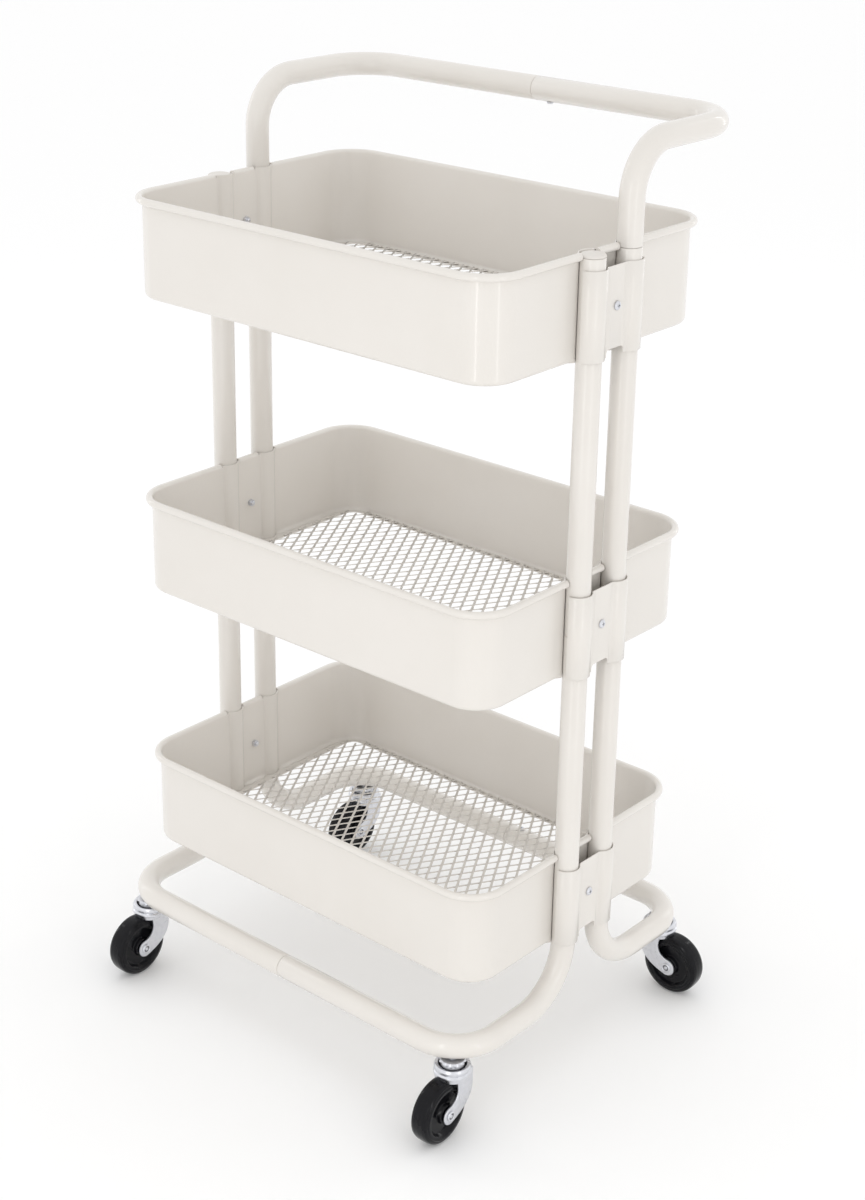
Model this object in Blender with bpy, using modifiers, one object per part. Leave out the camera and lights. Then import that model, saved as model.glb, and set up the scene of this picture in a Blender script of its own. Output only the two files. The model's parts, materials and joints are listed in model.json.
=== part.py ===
"""Three-tier rolling utility cart: pressed steel baskets clamped in a bent tube frame on swivel casters.

Metres, +Z up, X along the long side of the baskets, the handle over the +Y side. The pieces are laid
out about the cart's own middle; one root then sets the middle of the whole footprint, casters
included, over the origin, with the floor at Z = 0.
"""
import math

import bmesh
import bpy
from mathutils import Vector

# ---- driving dimensions -------------------------------------------------------------------------
GAP = 0.0003                     # clear space between pieces that touch

BASKET_LENGTH = 0.430            # over the rolled rim, along X
BASKET_WIDTH = 0.303             # over the rolled rim, along Y
BASKET_HEIGHT = 0.093            # rim top to underside
BASKET_CORNER = 0.0385           # plan radius of the rim's outer edge
RIM_PROJECTION = 0.0058          # how far the rolled rim stands out from the wall
SHEET = 0.001                    # pressed steel
BOTTOM_RADIUS = 0.005            # wall to floor flange
FLANGE_END = 0.0130              # floor flange, wall to opening, at the two ends
FLANGE_SIDE = 0.0088             # floor flange, wall to opening, along the two long sides
OPENING_CORNER = 0.011           # plan radius of the floor opening's corners
MESH_CORNER = 0.024              # plan radius of the floor sheet's corners
MESH_SHEET = 0.0006              # plain sheet with the mass of the expanded mesh
MESH_LAP = 0.004                 # how far the mesh laps over the flange
TIERS = {"top": 0.784, "middle": 0.4995, "bottom": 0.233}    # rim heights

TUBE_DIAMETER = 0.022
TUBE_WALL = 0.001
TUBE_SIDES = 12
UPRIGHT_STAND_OFF = 0.0068       # upright axis outside the end wall's face
UPRIGHT_Y = 0.025                # upright axis from the middle
UPRIGHT_TOP_DROP = 0.0045        # below the top rim
BASE_STAND_OFF = 0.0223          # base bar axis outside the long wall's face
HANDLE_HEIGHT = 0.864            # axis of the handle
HANDLE_STAND_OFF = 0.0273        # handle axis outside the long wall's face
FOOT_BEND_LAP = 0.002            # top of the foot bend above the bottom basket's underside
CORNER_BEND = 0.045              # bend radii on the tube axis
NECK_BEND = 0.045
BEND_STEPS = 4

CLAMP_SHEET = 0.0012
CLAMP_CLEARANCE = 0.0009         # clamp rib to tube, on the radius
CLAMP_TOP_DROP = 0.014           # below the rim
CLAMP_FOOT_RISE = 0.002          # above the basket's underside
CLAMP_WEB_INSET = 0.0053         # clamp web inside the ribs' inner crest
CLAMP_NOTCH = 0.008              # radius of the notch under the web
CHANNEL_CLEARANCE = 0.0004       # basket channel to tube, on the radius

SCREW_DIAMETER = 0.004
SCREW_HEAD_DIAMETER = 0.0080
SCREW_HEAD_HEIGHT = 0.0022
SCREW_OFFSET = 0.002             # screw axis below the basket's middle height
NUT_ACROSS = 0.0076              # across the corners
NUT_HEIGHT = 0.0032
HOLE_CLEARANCE = 0.0003

SEAM_SCREW_X = 0.015             # screw beside the seam between two tube halves
SEAM_SCREW_RADIUS = 0.0018
SEAM_SCREW_HEAD = 0.0032
SEAM_SCREW_HEAD_HEIGHT = 0.0018
SEAM_SCREW_LENGTH = 0.007
SLEEVE_LENGTH = 0.060            # joint sleeve inside two tube ends
SLEEVE_CLEARANCE = 0.0008        # on the radius, round sleeve in a many-sided tube
CAP_FLANGE_HEIGHT = 0.0028
CAP_PLUG_LENGTH = 0.012

WHEEL_DIAMETER = 0.060
WHEEL_WIDTH = 0.020
WHEEL_STEPS = 20
AXLE_DIAMETER = 0.0054
CASTER_TRAIL = 0.019             # axle behind the swivel axis
CASTER_ANGLE = 52.0              # where the stem stands on the corner bend, degrees from X
STEM_DIAMETER = 0.010
FORK_SHEET = 0.002
FORK_SIDE_CLEARANCE = 0.0017     # wheel face to fork arm
FORK_TOP_RISE = 0.0075           # upper face of the fork housing above the wheel
HOUSING_RADIUS = 0.017
HOUSING_HEIGHT = 0.0062
HOUSING_SHEET = 0.0015
ARM_LEAD = 0.0125                # leading edge of the arm ahead of the swivel axis
ARM_BACK = 0.008                 # its trailing edge behind the swivel axis
ARM_EYE = 0.0085                 # radius of the rounded end round the axle
CUP_RADIUS = 0.0125              # bearing cup between the fork and the tube
CUP_HEIGHT = 0.0085
KINGPIN_HEAD_RADIUS = 0.0078
KINGPIN_HEAD_HEIGHT = 0.0022
STEM_REACH = 0.004               # stem end above the base bar's axis
RIVET_HEAD_RADIUS = 0.0044
RIVET_HEAD_HEIGHT = 0.0011
HUB_RADIUS = 0.0080              # wheel hub, dished web and inside of the rim
DISH_RADIUS = 0.0225
DISH_DEPTH = 0.004
TREAD_ROUND = 0.003
# direction in which each caster trails at rest, degrees from +X
CASTER_HEADINGS = {
    ("front", "right"): -88.0,
    ("front", "left"): -90.0,
    ("rear", "right"): 2.0,
    ("rear", "left"): -92.0,
}

# ---- sizes that follow from them ----------------------------------------------------------------
TUBE_RADIUS = TUBE_DIAMETER / 2
WALL_X = BASKET_LENGTH / 2 - RIM_PROJECTION        # outer face of the end walls
WALL_Y = BASKET_WIDTH / 2 - RIM_PROJECTION         # outer face of the long walls
WALL_CORNER = BASKET_CORNER - RIM_PROJECTION
OPENING_X = WALL_X - FLANGE_END
OPENING_Y = WALL_Y - FLANGE_SIDE
UPRIGHT_X = WALL_X + UPRIGHT_STAND_OFF
UPRIGHT_TOP = TIERS["top"] - UPRIGHT_TOP_DROP
BASE_REACH = WALL_Y + BASE_STAND_OFF
HANDLE_REACH = WALL_Y + HANDLE_STAND_OFF
CHANNEL_RADIUS = TUBE_RADIUS + CHANNEL_CLEARANCE
CLAMP_HEIGHT = BASKET_HEIGHT - CLAMP_TOP_DROP - CLAMP_FOOT_RISE
CLAMP_INNER = TUBE_RADIUS + CLAMP_CLEARANCE
CLAMP_WEB_X = UPRIGHT_X + CLAMP_INNER - CLAMP_WEB_INSET      # inner face of the clamp web
SCREW_DROP = BASKET_HEIGHT / 2 + SCREW_OFFSET
SCREW_HOLE = SCREW_DIAMETER / 2 + HOLE_CLEARANCE
SPLIT_HEIGHT = TIERS["middle"] - CLAMP_TOP_DROP - CLAMP_HEIGHT / 2
SLEEVE_RADIUS = TUBE_RADIUS - TUBE_WALL - SLEEVE_CLEARANCE
WHEEL_RADIUS = WHEEL_DIAMETER / 2
FORK_TOP = WHEEL_DIAMETER + FORK_TOP_RISE
BASE_HEIGHT = FORK_TOP + CUP_HEIGHT + TUBE_RADIUS            # axis of the base bars
FOOT_BEND = TIERS["bottom"] - BASKET_HEIGHT - BASE_HEIGHT + FOOT_BEND_LAP
FORK_SIDE = WHEEL_WIDTH / 2 + FORK_SIDE_CLEARANCE            # inner face of a fork arm
STEM_X = UPRIGHT_X - CORNER_BEND + CORNER_BEND * math.cos(math.radians(CASTER_ANGLE))
STEM_Y = BASE_REACH - CORNER_BEND + CORNER_BEND * math.sin(math.radians(CASTER_ANGLE))
ARM_TOP = FORK_TOP - HOUSING_SHEET / 2

SIDES = {"right": 1, "left": -1}
ENDS = {"front": -1, "rear": 1}

for leftover in list(bpy.data.objects):
    bpy.data.objects.remove(leftover)

cart = bpy.data.collections.new("rolling_cart")
cutters = bpy.data.collections.new("cutters")
bpy.context.scene.collection.children.link(cart)
bpy.context.scene.collection.children.link(cutters)


# ---- materials ----------------------------------------------------------------------------------
def make_material(name, colour, roughness, metallic):
    material = bpy.data.materials.new(name)
    material.use_nodes = True
    shader = material.node_tree.nodes["Principled BSDF"]
    shader.inputs["Base Color"].default_value = (*colour, 1.0)
    shader.inputs["Roughness"].default_value = roughness
    shader.inputs["Metallic"].default_value = metallic
    return material


# ---- general tools ------------------------------------------------------------------------------
def add_object(name, data, material=None, location=(0, 0, 0), rotation=(0, 0, 0), parent=None):
    """An object in the cart's collection."""
    piece = bpy.data.objects.new(name, data)
    cart.objects.link(piece)
    piece.location = location
    piece.rotation_euler = rotation
    piece.parent = parent
    if material:
        piece.data.materials.append(material)
    return piece


def arc(centre, radius, start, end, steps):
    """Points on an arc in a plane, both ends included, angles in degrees."""
    points = []
    for step in range(steps + 1):
        angle = math.radians(start + (end - start) * step / steps)
        points.append((centre[0] + radius * math.cos(angle), centre[1] + radius * math.sin(angle)))
    return points


def rounded_rectangle(half_x, half_y, radius, steps):
    """Counter-clockwise outline with round corners."""
    outline = []
    for corner, (x, y) in enumerate(((1, 1), (-1, 1), (-1, -1), (1, -1))):
        centre = (x * (half_x - radius), y * (half_y - radius))
        outline += arc(centre, radius, corner * 90, corner * 90 + 90, steps)
    return outline


def bent_path(corners, radii, steps):
    """A centre line through the corners, each turned into an arc of its radius."""
    corners = [Vector(corner) for corner in corners]
    points = [corners[0]]
    for before, corner, after, radius in zip(corners, corners[1:], corners[2:], radii):
        arrive = (corner - before).normalized()
        leave = (after - corner).normalized()
        turn = arrive.angle(leave)
        reach = radius * math.tan(turn / 2)
        centre = corner + (leave - arrive).normalized() * radius / math.cos(turn / 2)
        spoke = (corner - arrive * reach) - centre
        for step in range(steps + 1):
            part = turn * step / steps
            points.append(centre + spoke * math.cos(part) + arrive * radius * math.sin(part))
    points.append(corners[-1])
    return points


def curve_data(name, points, cyclic, dimensions):
    """A poly curve through the points."""
    curve = bpy.data.curves.new(name, "CURVE")
    curve.dimensions = dimensions
    spline = curve.splines.new("POLY")
    spline.points.add(len(points) - 1)
    for place, point in zip(spline.points, points):
        place.co = (*Vector(point).to_3d(), 1.0)
    spline.use_cyclic_u = cyclic
    return curve


def mesh_from_curve(curve):
    """The curve's evaluated surface as a welded mesh."""
    carrier = bpy.data.objects.new(curve.name, curve)
    cart.objects.link(carrier)
    graph = bpy.context.evaluated_depsgraph_get()
    mesh = bpy.data.meshes.new_from_object(carrier.evaluated_get(graph))
    bpy.data.objects.remove(carrier)
    welded = bmesh.new()
    welded.from_mesh(mesh)
    bmesh.ops.remove_doubles(welded, verts=welded.verts, dist=0.00001)
    welded.to_mesh(mesh)
    welded.free()
    return mesh


def tube_mesh(name, points, radius):
    """Open tube surface round a centre line."""
    curve = curve_data(name, points, False, "3D")
    curve.bevel_depth = radius
    curve.bevel_resolution = TUBE_SIDES // 2 - 2
    mesh = mesh_from_curve(curve)
    mesh.shade_smooth()
    return mesh


def plate_mesh(name, outline, thickness):
    """Flat plate, its outline in XY and its middle plane at Z = 0."""
    curve = curve_data(name, outline, True, "2D")
    curve.fill_mode = "BOTH"
    curve.extrude = thickness / 2
    return mesh_from_curve(curve)


def turned(name, profile, steps, material, location=(0, 0, 0), rotation=(0, 0, 0), parent=None):
    """Solid of revolution about its own Z axis, from a closed or axis-to-axis (radius, z) profile."""
    mesh = bpy.data.meshes.new(name)
    count = len(profile)
    closed = all(radius > 0 for radius, _ in profile)
    edges = [(index, (index + 1) % count) for index in range(count if closed else count - 1)]
    mesh.from_pydata([(radius, 0, height) for radius, height in profile], edges, [])
    piece = add_object(name, mesh, material, location, rotation, parent)
    screw = piece.modifiers.new("turn", "SCREW")
    screw.steps = steps
    screw.render_steps = steps
    screw.use_merge_vertices = True
    screw.merge_threshold = 0.00001
    screw.use_smooth_shade = False
    return piece


def thicken(piece, thickness):
    """Give an open surface its thickness, inwards from the face it was drawn on."""
    solidify = piece.modifiers.new("thickness", "SOLIDIFY")
    solidify.thickness = thickness
    solidify.offset = -1
    solidify.use_even_offset = True


def tool(piece):
    """Turn an object into a cutter or a joining tool that isn't part of the model."""
    cart.objects.unlink(piece)
    cutters.objects.link(piece)
    piece.hide_render = True
    piece.display_type = "WIRE"
    return piece


def cylinder_tool(name, radius, length, centre, axis, sides):
    """Cylinder along X, Y or Z that cuts or joins."""
    mesh = bpy.data.meshes.new(name)
    shape = bmesh.new()
    bmesh.ops.create_cone(shape, cap_ends=True, segments=sides, radius1=radius, radius2=radius, depth=length)
    shape.to_mesh(mesh)
    shape.free()
    quarter = math.pi / 2
    rotation = {"X": (0, quarter, 0), "Y": (quarter, 0, 0), "Z": (0, 0, 0)}[axis]
    return tool(add_object(name, mesh, None, centre, rotation))


def combine(piece, other, operation):
    boolean = piece.modifiers.new(other.name, "BOOLEAN")
    boolean.operation = operation
    boolean.object = other


def bake(piece, tools):
    """The piece's mesh with its modifiers applied; the piece and its tools are removed."""
    graph = bpy.context.evaluated_depsgraph_get()
    mesh = bpy.data.meshes.new_from_object(piece.evaluated_get(graph))
    for used in (piece, *tools):
        bpy.data.objects.remove(used)
    return mesh


# ---- materials of the cart ----------------------------------------------------------------------
CREAM_STEEL = make_material("cream_powder_coat", (0.82, 0.79, 0.75), 0.42, 0.0)
CREAM_PLASTIC = make_material("cream_plastic", (0.80, 0.77, 0.73), 0.5, 0.0)
ZINC = make_material("zinc_plate", (0.74, 0.76, 0.80), 0.28, 1.0)
BLACK_NYLON = make_material("black_nylon", (0.012, 0.012, 0.014), 0.22, 0.0)


# ---- baskets ------------------------------------------------------------------------------------
def basket_section():
    """Outer face of the sheet from the rolled rim to the flange: (distance out from the wall, height)."""
    roll = (RIM_PROJECTION - SHEET) / 2
    rim = arc((roll, -roll - SHEET), roll, -30, 180, 5)
    bottom = arc((-BOTTOM_RADIUS, BOTTOM_RADIUS - BASKET_HEIGHT), BOTTOM_RADIUS, 0, -90, 2)
    return rim + bottom


def basket_shell_mesh():
    """The section carried round the basket and on to the floor opening, rim top at Z = 0."""
    shell = bmesh.new()
    rings = []
    for out, height in basket_section():
        outline = rounded_rectangle(WALL_X + out, WALL_Y + out, WALL_CORNER + out, BEND_STEPS)
        rings.append([shell.verts.new((x, y, height)) for x, y in outline])
    opening = rounded_rectangle(OPENING_X, OPENING_Y, OPENING_CORNER, BEND_STEPS)
    rings.append([shell.verts.new((x, y, -BASKET_HEIGHT)) for x, y in opening])
    for upper, lower in zip(rings, rings[1:]):
        for index, corner in enumerate(upper):
            following = (index + 1) % len(upper)
            shell.faces.new((corner, lower[index], lower[following], upper[following]))
    mesh = bpy.data.meshes.new("basket_shell")
    shell.to_mesh(mesh)
    shell.free()
    return mesh


def channel_tool(side, end):
    """Solid half-round rib inside an end wall, which the upright's channel is then cut from."""
    radius = CHANNEL_RADIUS + SHEET
    chord = UPRIGHT_X - (WALL_X - SHEET / 2)
    spread = math.degrees(math.acos(chord / radius))
    facing = 180 if side > 0 else 0
    outline = arc((side * UPRIGHT_X, end * UPRIGHT_Y), radius, facing - spread, facing + spread, 6)
    height = BASKET_HEIGHT - RIM_PROJECTION / 2 - SHEET / 2
    rib = add_object("channel_rib", plate_mesh("channel_rib", outline, height))
    rib.location.z = SHEET / 2 - BASKET_HEIGHT + height / 2
    return tool(rib)


def basket_mesh():
    """One pressed basket with its four upright channels and two screw holes."""
    basket = add_object("basket_blank", basket_shell_mesh())
    thicken(basket, SHEET)
    tools = []
    for side in SIDES.values():
        for end in ENDS.values():
            rib = channel_tool(side, end)
            combine(basket, rib, "UNION")
            tools.append(rib)
    for side in SIDES.values():
        for end in ENDS.values():
            centre = (side * UPRIGHT_X, end * UPRIGHT_Y, -BASKET_HEIGHT / 2)
            groove = cylinder_tool("channel_groove", CHANNEL_RADIUS, 2 * BASKET_HEIGHT, centre, "Z", 20)
            combine(basket, groove, "DIFFERENCE")
            tools.append(groove)
        hole = cylinder_tool("screw_hole", SCREW_HOLE, 0.02, (side * WALL_X, 0, -SCREW_DROP), "X", 10)
        combine(basket, hole, "DIFFERENCE")
        tools.append(hole)
    return bake(basket, tools)


def mesh_floor_mesh():
    """Floor sheet, its underside at Z = 0."""
    outline = rounded_rectangle(OPENING_X + MESH_LAP, OPENING_Y + MESH_LAP, MESH_CORNER, BEND_STEPS)
    sheet = plate_mesh("mesh_floor", outline, MESH_SHEET)
    for vertex in sheet.vertices:
        vertex.co.z += MESH_SHEET / 2
    return sheet


def build_baskets():
    shared_basket = basket_mesh()
    shared_floor = mesh_floor_mesh()
    for tier, rim in TIERS.items():
        add_object(f"basket_{tier}", shared_basket, CREAM_STEEL, (0, 0, rim))
        floor_height = rim - BASKET_HEIGHT + SHEET + GAP
        add_object(f"mesh_floor_{tier}", shared_floor, CREAM_STEEL, (0, 0, floor_height))


# ---- clamp plates, their screws and nuts --------------------------------------------------------
def clamp_outline():
    """Plan of a right-hand clamp about the Y axis: half-round ribs over both uprights, web between."""
    web_angle = math.degrees(math.acos((CLAMP_WEB_X - UPRIGHT_X) / CLAMP_INNER))
    outer_web_angle = math.degrees(
        math.acos((CLAMP_WEB_X + CLAMP_SHEET - UPRIGHT_X) / (CLAMP_INNER + CLAMP_SHEET)))
    front = (UPRIGHT_X, -UPRIGHT_Y)
    rear = (UPRIGHT_X, UPRIGHT_Y)
    outer = CLAMP_INNER + CLAMP_SHEET
    outside = arc(front, outer, -90, outer_web_angle, 7) + arc(rear, outer, -outer_web_angle, 90, 7)
    inside = arc(rear, CLAMP_INNER, 90, -web_angle, 7) + arc(front, CLAMP_INNER, web_angle, -90, 7)
    return outside + inside


def clamp_mesh():
    """Clamp plate with its middle height at Z = 0, notched under the web, drilled for the screw."""
    plate = add_object("clamp_blank", plate_mesh("clamp_plate", clamp_outline(), CLAMP_HEIGHT))
    screw_height = CLAMP_TOP_DROP + CLAMP_HEIGHT / 2 - SCREW_DROP
    notch_centre = (CLAMP_WEB_X, 0, -CLAMP_HEIGHT / 2 - CLAMP_NOTCH / 2)
    notch = cylinder_tool("clamp_notch", CLAMP_NOTCH, 0.02, notch_centre, "X", 20)
    hole = cylinder_tool("clamp_hole", SCREW_HOLE, 0.02, (CLAMP_WEB_X, 0, screw_height), "X", 10)
    combine(plate, notch, "DIFFERENCE")
    combine(plate, hole, "DIFFERENCE")
    return bake(plate, (notch, hole))


def screw_profile(shaft, head, head_height, length):
    """Pan-head screw, underside of the head at Z = 0, shaft pointing down."""
    crown = head_height * 0.35
    return [(0, head_height), (head * 0.55, head_height), (head, crown), (head, 0), (shaft, 0),
            (shaft, -length), (0, -length)]


def build_clamps():
    shared_clamp = clamp_mesh()
    head_seat = CLAMP_WEB_X + CLAMP_SHEET + GAP
    nut_seat = WALL_X - SHEET - GAP
    screw_length = head_seat - (nut_seat - NUT_HEIGHT - SCREW_DIAMETER / 2)
    profile = screw_profile(SCREW_DIAMETER / 2, SCREW_HEAD_DIAMETER / 2, SCREW_HEAD_HEIGHT, screw_length)
    bore = SCREW_DIAMETER / 2 + GAP
    nut = [(bore, 0), (NUT_ACROSS / 2, 0), (NUT_ACROSS / 2, -NUT_HEIGHT), (bore, -NUT_HEIGHT)]
    for tier, rim in TIERS.items():
        for side_name, side in SIDES.items():
            facing = 0 if side > 0 else math.pi
            middle = rim - CLAMP_TOP_DROP - CLAMP_HEIGHT / 2
            label = f"{tier}_{side_name}"
            add_object(f"clamp_{label}", shared_clamp, CREAM_STEEL, (0, 0, middle), (0, 0, facing))
            tilt = (0, side * math.pi / 2, 0)
            screw_height = rim - SCREW_DROP
            turned(f"clamp_screw_{label}", profile, 10, ZINC, (side * head_seat, 0, screw_height), tilt)
            turned(f"clamp_nut_{label}", nut, 6, ZINC, (side * nut_seat, 0, screw_height), tilt)


# ---- tube frame ---------------------------------------------------------------------------------
def build_tube(name, corners, radii, holes=()):
    """Hollow tube along bent corners; each hole is a drilling tool."""
    points = bent_path(corners, radii, BEND_STEPS)
    tube = add_object(name, tube_mesh(name, points, TUBE_RADIUS), CREAM_STEEL)
    thicken(tube, TUBE_WALL)
    for hole in holes:
        combine(tube, hole, "DIFFERENCE")
    return tube


def seam_hole(reach, height, below):
    """Drilling tool for a seam screw, through the lower or the upper wall of a bar."""
    centre = (SEAM_SCREW_X, reach, height + (-1 if below else 1) * TUBE_RADIUS)
    return cylinder_tool("seam_hole", SEAM_SCREW_RADIUS + HOLE_CLEARANCE, TUBE_RADIUS, centre, "Z", 8)


def build_seam(label, reach, height, below, hole):
    """Sleeve inside the two halves of a bar, and the screw that holds it."""
    half = SLEEVE_LENGTH / 2
    path = [(-half, reach, height), (half, reach, height)]
    sleeve = add_object(f"{label}_sleeve", tube_mesh(f"{label}_sleeve", path, SLEEVE_RADIUS), ZINC)
    thicken(sleeve, TUBE_WALL)
    combine(sleeve, hole, "DIFFERENCE")
    profile = screw_profile(SEAM_SCREW_RADIUS, SEAM_SCREW_HEAD, SEAM_SCREW_HEAD_HEIGHT,
                            SEAM_SCREW_LENGTH)
    outward = -1 if below else 1
    seat = (SEAM_SCREW_X, reach, height + outward * (TUBE_RADIUS + GAP))
    turned(f"{label}_screw", profile, 10, ZINC, seat, (math.pi if below else 0, 0, 0))


def build_frame():
    drills = {
        "handle": seam_hole(HANDLE_REACH, HANDLE_HEIGHT, True),
        "front_bar": seam_hole(-BASE_REACH, BASE_HEIGHT, True),
        "rear_bar": seam_hole(BASE_REACH, BASE_HEIGHT, False),
    }
    for side_name, side in SIDES.items():
        seam_x = side * GAP / 2
        for end_name, end in ENDS.items():
            label = f"{end_name}_{side_name}"
            foot = (side * UPRIGHT_X, end * UPRIGHT_Y)
            stem_centre = (side * STEM_X, end * STEM_Y, BASE_HEIGHT - TUBE_RADIUS)
            holes = [cylinder_tool("stem_hole", STEM_DIAMETER / 2 + HOLE_CLEARANCE, TUBE_RADIUS,
                                   stem_centre, "Z", 12)]
            if side > 0:
                holes.append(drills[f"{end_name}_bar"])
            corners = [
                (*foot, SPLIT_HEIGHT - GAP / 2),
                (*foot, BASE_HEIGHT),
                (side * UPRIGHT_X, end * BASE_REACH, BASE_HEIGHT),
                (seam_x, end * BASE_REACH, BASE_HEIGHT),
            ]
            build_tube(f"lower_tube_{label}", corners, (FOOT_BEND, CORNER_BEND), holes)
            upper = [(*foot, UPRIGHT_TOP), (*foot, SPLIT_HEIGHT + GAP / 2)]
            build_tube(f"upright_{label}", upper, ())
        corners = [
            (side * UPRIGHT_X, UPRIGHT_Y, UPRIGHT_TOP + GAP),
            (side * UPRIGHT_X, UPRIGHT_Y, HANDLE_HEIGHT),
            (side * UPRIGHT_X, HANDLE_REACH, HANDLE_HEIGHT),
            (seam_x, HANDLE_REACH, HANDLE_HEIGHT),
        ]
        holes = [drills["handle"]] if side > 0 else []
        build_tube(f"handle_{side_name}", corners, (NECK_BEND, CORNER_BEND), holes)
        socket = (side * UPRIGHT_X, UPRIGHT_Y)
        ends = [(*socket, UPRIGHT_TOP - SLEEVE_LENGTH / 2), (*socket, UPRIGHT_TOP + SLEEVE_LENGTH / 2)]
        spigot_name = f"handle_spigot_{side_name}"
        spigot = add_object(spigot_name, tube_mesh(spigot_name, ends, SLEEVE_RADIUS), ZINC)
        thicken(spigot, TUBE_WALL)
    build_seam("handle", HANDLE_REACH, HANDLE_HEIGHT, True, drills["handle"])
    build_seam("front_bar", -BASE_REACH, BASE_HEIGHT, True, drills["front_bar"])
    build_seam("rear_bar", BASE_REACH, BASE_HEIGHT, False, drills["rear_bar"])


def build_caps():
    """Plugs in the open tops of the two front uprights."""
    profile = [(0, CAP_FLANGE_HEIGHT), (TUBE_RADIUS * 0.72, CAP_FLANGE_HEIGHT),
               (TUBE_RADIUS, CAP_FLANGE_HEIGHT * 0.45), (TUBE_RADIUS, 0), (SLEEVE_RADIUS, 0),
               (SLEEVE_RADIUS, -CAP_PLUG_LENGTH), (0, -CAP_PLUG_LENGTH)]
    for side_name, side in SIDES.items():
        seat = (side * UPRIGHT_X, -UPRIGHT_Y, UPRIGHT_TOP + GAP)
        turned(f"cap_{side_name}", profile, 12, CREAM_PLASTIC, seat)


# ---- casters ------------------------------------------------------------------------------------
def quadratic(start, control, end, steps):
    """Points on a quadratic curve after its start, end included."""
    points = []
    for step in range(1, steps + 1):
        part = step / steps
        weights = ((1 - part) ** 2, 2 * part * (1 - part), part ** 2)
        points.append(tuple(
            weights[0] * a + weights[1] * b + weights[2] * c for a, b, c in zip(start, control, end)))
    return points


def arm_outline():
    """Side view of a fork arm: X is the way the caster trails, Y is the height."""
    axle = (CASTER_TRAIL, WHEEL_RADIUS)
    bend = WHEEL_RADIUS + 0.020
    eye = arc(axle, ARM_EYE, -107, 82, 6)
    lead = quadratic((-ARM_LEAD, bend), (-ARM_LEAD, WHEEL_RADIUS), eye[0], 3)
    back = quadratic(eye[-1], (ARM_BACK, bend - 0.010), (ARM_BACK, bend + 0.002), 3)
    return [(-ARM_LEAD, ARM_TOP), (-ARM_LEAD, bend)] + lead + eye[1:] + back + [(ARM_BACK, ARM_TOP)]


def fork_mesh():
    """Housing and two arms in one body, about the swivel axis with the floor at Z = 0."""
    sheet = HOUSING_SHEET
    hole = STEM_DIAMETER / 2 + GAP
    housing = [(hole, FORK_TOP), (HOUSING_RADIUS - 0.003, FORK_TOP), (HOUSING_RADIUS, FORK_TOP - 0.002),
               (HOUSING_RADIUS, FORK_TOP - HOUSING_HEIGHT),
               (HOUSING_RADIUS - sheet, FORK_TOP - HOUSING_HEIGHT),
               (HOUSING_RADIUS - sheet, FORK_TOP - sheet), (hole, FORK_TOP - sheet)]
    fork = turned("fork_blank", housing, 16, None)
    tools = []
    for side in SIDES.values():
        arm = add_object("fork_arm", plate_mesh("fork_arm", arm_outline(), FORK_SHEET))
        arm.rotation_euler = (math.pi / 2, 0, 0)
        arm.location.y = side * (FORK_SIDE + FORK_SHEET / 2)
        tools.append(tool(arm))
        combine(fork, arm, "UNION")
    reach = 2 * FORK_SIDE + 4 * FORK_SHEET
    drill = cylinder_tool("axle_hole", AXLE_DIAMETER / 2 + HOLE_CLEARANCE, reach,
                          (CASTER_TRAIL, 0, WHEEL_RADIUS), "Y", 10)
    combine(fork, drill, "DIFFERENCE")
    tools.append(drill)
    return bake(fork, tools)


def wheel_profile():
    """Half section of the wheel: hub, dished side, rim and tread, its axle along Z."""
    bore = AXLE_DIAMETER / 2 + HOLE_CLEARANCE
    half = WHEEL_WIDTH / 2
    outer = WHEEL_RADIUS / math.cos(math.pi / WHEEL_STEPS)
    upper = [(bore, half), (HUB_RADIUS, half), (HUB_RADIUS, half - DISH_DEPTH),
             (DISH_RADIUS, half - DISH_DEPTH), (DISH_RADIUS, half), (outer - TREAD_ROUND, half),
             (outer, half - TREAD_ROUND)]
    lower = [(radius, -height) for radius, height in reversed(upper)]
    return upper + lower


def axle_profile():
    """Rivet through both arms, its heads outside them."""
    shaft = AXLE_DIAMETER / 2
    head = RIVET_HEAD_RADIUS
    seat = FORK_SIDE + FORK_SHEET + GAP
    end = seat + RIVET_HEAD_HEIGHT
    return [(0, end), (head * 0.7, end), (head, seat), (shaft, seat),
            (shaft, -seat), (head, -seat), (head * 0.7, -end), (0, -end)]


def stem_profile():
    """Threaded stem, cup washer and kingpin head in one, heights from the floor."""
    shaft = STEM_DIAMETER / 2
    top = BASE_HEIGHT + STEM_REACH
    tube_under = BASE_HEIGHT - TUBE_RADIUS - GAP
    cup_under = FORK_TOP + GAP
    head_top = FORK_TOP - HOUSING_SHEET - GAP
    head_end = head_top - KINGPIN_HEAD_HEIGHT
    return [(0, top), (shaft, top), (shaft, tube_under), (CUP_RADIUS - 0.001, tube_under),
            (CUP_RADIUS, (tube_under + cup_under) / 2), (CUP_RADIUS - 0.003, cup_under),
            (shaft, cup_under), (shaft, head_top), (KINGPIN_HEAD_RADIUS, head_top),
            (KINGPIN_HEAD_RADIUS, head_end), (0, head_end)]


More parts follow.
